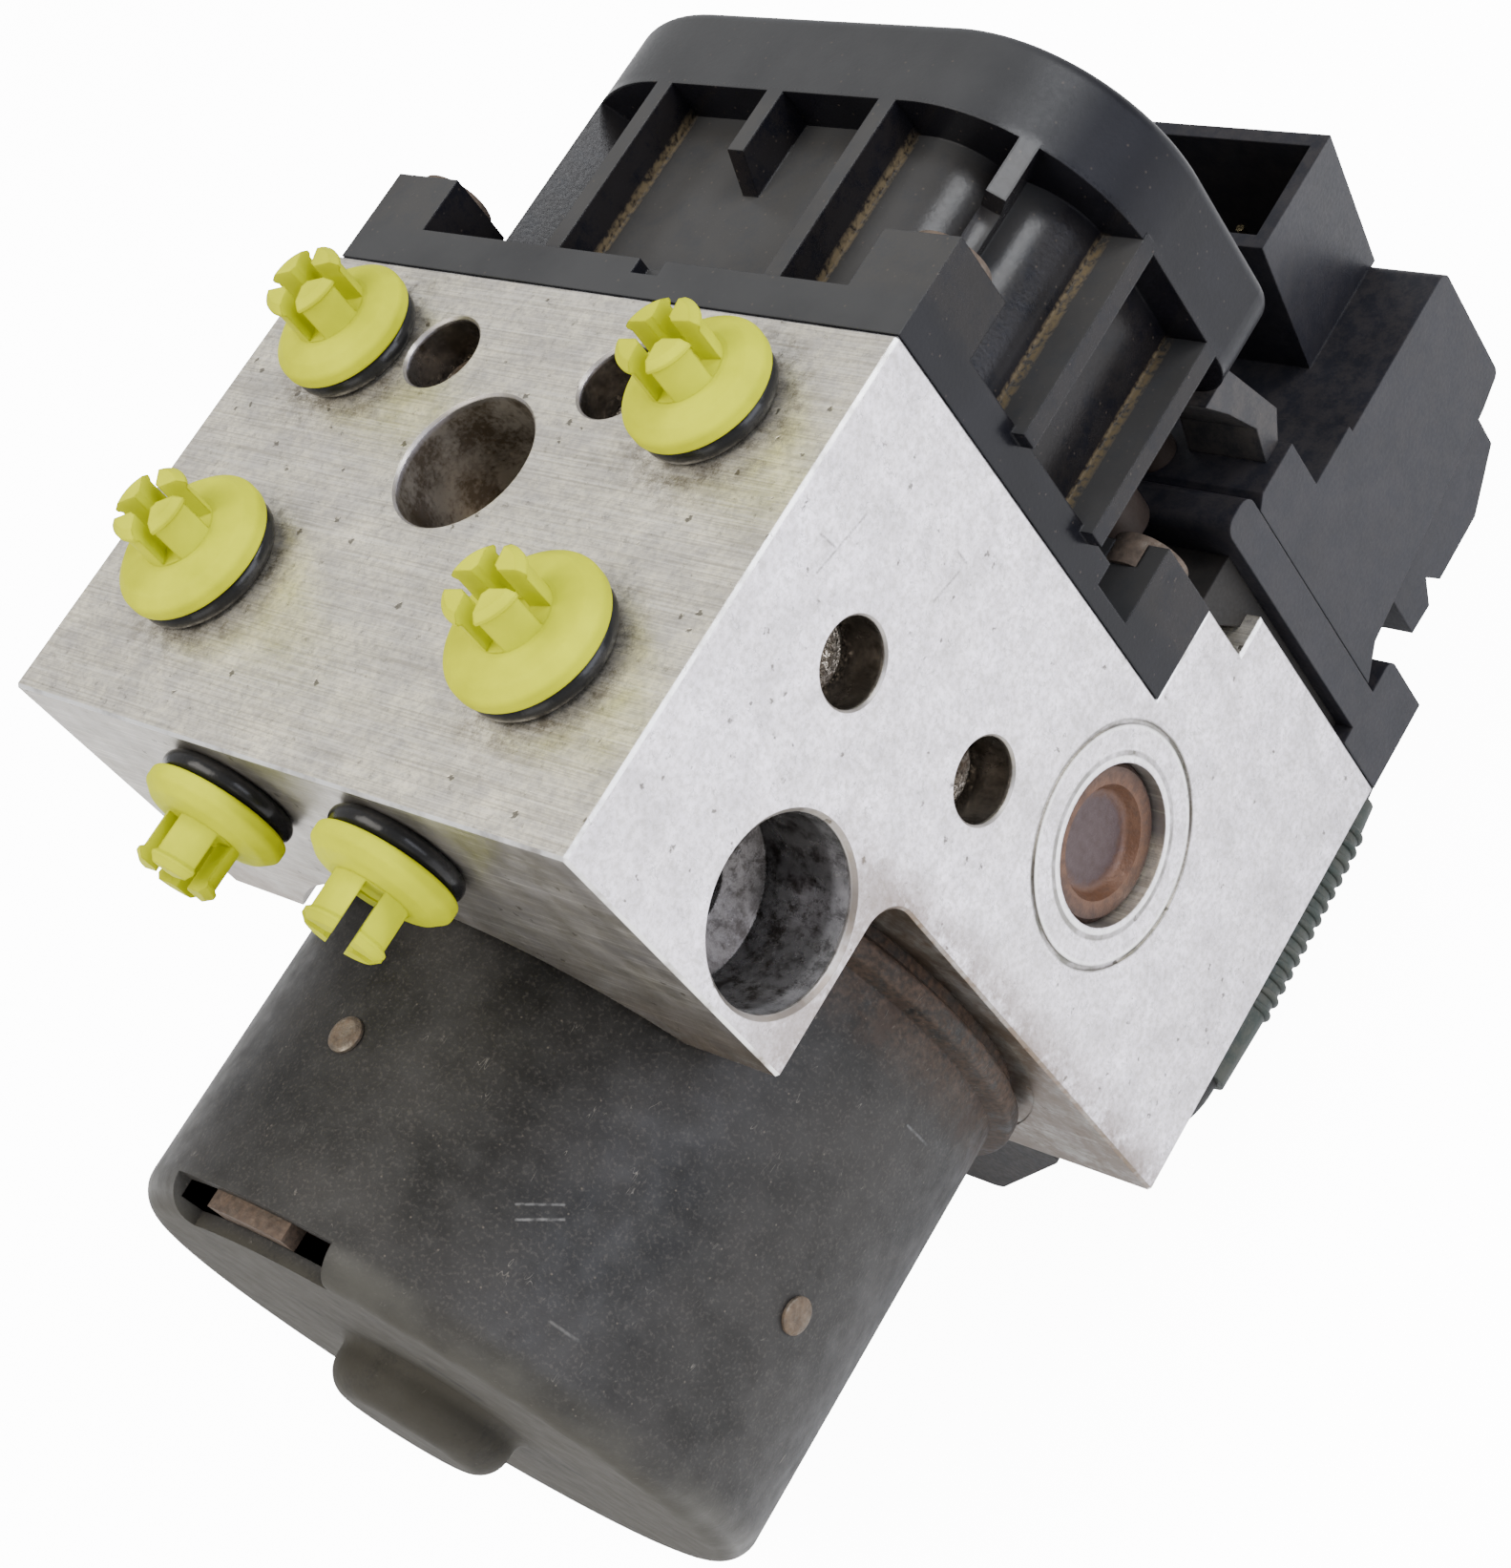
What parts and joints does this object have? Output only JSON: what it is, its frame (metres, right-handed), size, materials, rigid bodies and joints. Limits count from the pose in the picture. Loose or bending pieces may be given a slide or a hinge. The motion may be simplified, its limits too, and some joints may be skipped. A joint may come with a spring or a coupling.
{
  "type": "brake modulator",
  "caption": "Valve block of a vehicle brake system with pump motor, ribbed valve cover, rear controller with connector socket, and capped line ports.",
  "frame": {"origin": "in the middle of the bush bore in the face with the four line ports, on its axis", "axes": "+Z out of the face with the four line ports, +X out of the side with the large bush bore and the pump plug seen in the picture, -Y along the motor, +Y towards the controller"},
  "size_m": [0.102, 0.195, 0.1548],
  "materials": {
    "block_aluminium": "milled, fine tool lines, stained and nicked",
    "staked_steel": "dark staked steel with oil",
    "port_rubber": "glossy black ring",
    "plug_plastic": "satin yellow, slightly translucent",
    "can_paint": "dark grey, dusty and rubbed bare at the end",
    "rivet_steel": "brown rusted steel",
    "rusty_tab": "rusty brown",
    "magnet": "sintered ferrite",
    "brush_plate_plastic": "moulded",
    "carbon": "pressed carbon",
    "spring_steel": "drawn wire",
    "shaft_steel": "ground steel",
    "race_steel": "polished bearing steel",
    "core_steel": "stacked sheet",
    "winding_copper": "enamelled wire",
    "commutator_copper": "turned copper",
    "liner_steel": "ground steel",
    "rusty_plug": "rust brown",
    "piston_steel": "ground steel",
    "accumulator_aluminium": "turned",
    "cap_steel": "pressed steel cap",
    "valve_steel": "turned steel",
    "plunger_steel": "turned steel",
    "coil_copper": "wound wire",
    "carrier_plastic": "moulded",
    "cover_plastic": "satin dark grey, brown dust in the corners",
    "gasket_rubber": "moulded",
    "bush_steel": "tan stained steel",
    "screw_steel": "dark steel",
    "seal_rubber": "brown-green, oily",
    "controller_plastic": "satin dark grey",
    "pin_brass": "tinned brass",
    "board_laminate": "green laminate",
    "bridge_plastic": "grey plastic",
    "grommet_rubber": "brown, dusty",
    "lead_rubber": "black",
    "sleeve_plastic": "ribbed black-green",
    "boot_rubber": "moulded black"
  },
  "bodies": {
    "modulator": {"hydraulic_block": "block_aluminium", "channel_plugs": "staked_steel", "port_rings_small": "port_rubber", "port_rings_large": "port_rubber", "motor_can": "can_paint", "motor_rivets": "rivet_steel", "crimp_tab": "rusty_tab", "motor_magnets": "magnet", "brush_holder": "brush_plate_plastic", "brushes": "carbon", "brush_springs": "spring_steel", "bearing_outer_races": "race_steel", "pump_cylinders": "liner_steel", "pump_plugs": "rusty_plug", "pump_spring_right": "spring_steel", "pump_spring_left": "spring_steel", "accumulator_spring_right": "spring_steel", "accumulator_spring_left": "spring_steel", "accumulator_caps": "cap_steel", "valve_bodies": "valve_steel", "solenoid_coils": "coil_copper", "coil_carrier": "carrier_plastic", "valve_cover": "cover_plastic", "cover_gasket": "gasket_rubber", "cover_bushes": "bush_steel", "cover_screws": "screw_steel", "controller_seal": "seal_rubber", "controller_base": "controller_plastic", "controller_case": "controller_plastic", "connector_pins": "pin_brass", "circuit_board": "board_laminate", "lead_bridge": "bridge_plastic", "lead_grommets": "grommet_rubber", "motor_lead": "lead_rubber", "lead_sleeve": "sleeve_plastic", "lead_boot": "boot_rubber", "plug_wheel_left": "plug_plastic", "plug_wheel_right": "plug_plastic", "plug_master_left": "plug_plastic", "plug_master_right": "plug_plastic", "plug_front_left": "plug_plastic", "plug_front_right": "plug_plastic"},
    "rotor": {"rotor_shaft": "shaft_steel", "eccentric_ring": "race_steel", "rotor_core": "core_steel", "rotor_windings": "winding_copper", "commutator": "commutator_copper", "bearing_inner_races": "race_steel"},
    "pump_piston_body_right": {"pump_piston_right": "piston_steel"},
    "pump_piston_body_left": {"pump_piston_left": "piston_steel"},
    "accumulator_piston_body_right": {"accumulator_piston_right": "accumulator_aluminium"},
    "accumulator_piston_body_left": {"accumulator_piston_left": "accumulator_aluminium"},
    "valve_plunger_body_1": {"valve_plunger_1": "plunger_steel"},
    "valve_plunger_body_2": {"valve_plunger_2": "plunger_steel"},
    "valve_plunger_body_3": {"valve_plunger_3": "plunger_steel"},
    "valve_plunger_body_4": {"valve_plunger_4": "plunger_steel"},
    "valve_plunger_body_5": {"valve_plunger_5": "plunger_steel"},
    "valve_plunger_body_6": {"valve_plunger_6": "plunger_steel"},
    "valve_plunger_body_7": {"valve_plunger_7": "plunger_steel"},
    "valve_plunger_body_8": {"valve_plunger_8": "plunger_steel"}
  },
  "joints": [
    {"name": "rotor_spin", "type": "hinge", "parent": "modulator", "child": "rotor", "pos_m": [0.0011, -0.0543, -0.06425], "axis": [0, 1, 0], "continuous": true},
    {"name": "pump_stroke_right", "type": "slide", "parent": "modulator", "child": "pump_piston_body_right", "axis": [1, 0, 0], "range_m": [0, 0.003], "stiffness_N_per_m": 600, "springref_m": -0.002, "deforming": ["pump_spring_right"]},
    {"name": "pump_stroke_left", "type": "slide", "parent": "modulator", "child": "pump_piston_body_left", "axis": [-1, 0, 0], "range_m": [0, 0.003], "stiffness_N_per_m": 600, "springref_m": -0.002, "deforming": ["pump_spring_left"]},
    {"name": "accumulator_fill_right", "type": "slide", "parent": "modulator", "child": "accumulator_piston_body_right", "axis": [0, 0, -1], "range_m": [0, 0.0055], "stiffness_N_per_m": 500, "springref_m": -0.002, "deforming": ["accumulator_spring_right"]},
    {"name": "accumulator_fill_left", "type": "slide", "parent": "modulator", "child": "accumulator_piston_body_left", "axis": [0, 0, -1], "range_m": [0, 0.0055], "stiffness_N_per_m": 500, "springref_m": -0.002, "deforming": ["accumulator_spring_left"]},
    {"name": "valve_lift_1", "type": "slide", "parent": "modulator", "child": "valve_plunger_body_1", "axis": [0, 1, 0], "range_m": [0, 0.0003], "stiffness_N_per_m": 400, "springref_m": -0.001},
    {"name": "valve_lift_2", "type": "slide", "parent": "modulator", "child": "valve_plunger_body_2", "axis": [0, 1, 0], "range_m": [0, 0.0003], "stiffness_N_per_m": 400, "springref_m": -0.001},
    {"name": "valve_lift_3", "type": "slide", "parent": "modulator", "child": "valve_plunger_body_3", "axis": [0, 1, 0], "range_m": [0, 0.0003], "stiffness_N_per_m": 400, "springref_m": -0.001},
    {"name": "valve_lift_4", "type": "slide", "parent": "modulator", "child": "valve_plunger_body_4", "axis": [0, 1, 0], "range_m": [0, 0.0003], "stiffness_N_per_m": 400, "springref_m": -0.001},
    {"name": "valve_lift_5", "type": "slide", "parent": "modulator", "child": "valve_plunger_body_5", "axis": [0, 1, 0], "range_m": [0, 0.0003], "stiffness_N_per_m": 400, "springref_m": -0.001},
    {"name": "valve_lift_6", "type": "slide", "parent": "modulator", "child": "valve_plunger_body_6", "axis": [0, 1, 0], "range_m": [0, 0.0003], "stiffness_N_per_m": 400, "springref_m": -0.001},
    {"name": "valve_lift_7", "type": "slide", "parent": "modulator", "child": "valve_plunger_body_7", "axis": [0, 1, 0], "range_m": [0, 0.0003], "stiffness_N_per_m": 400, "springref_m": -0.001},
    {"name": "valve_lift_8", "type": "slide", "parent": "modulator", "child": "valve_plunger_body_8", "axis": [0, 1, 0], "range_m": [0, 0.0003], "stiffness_N_per_m": 400, "springref_m": -0.001}
  ]
}
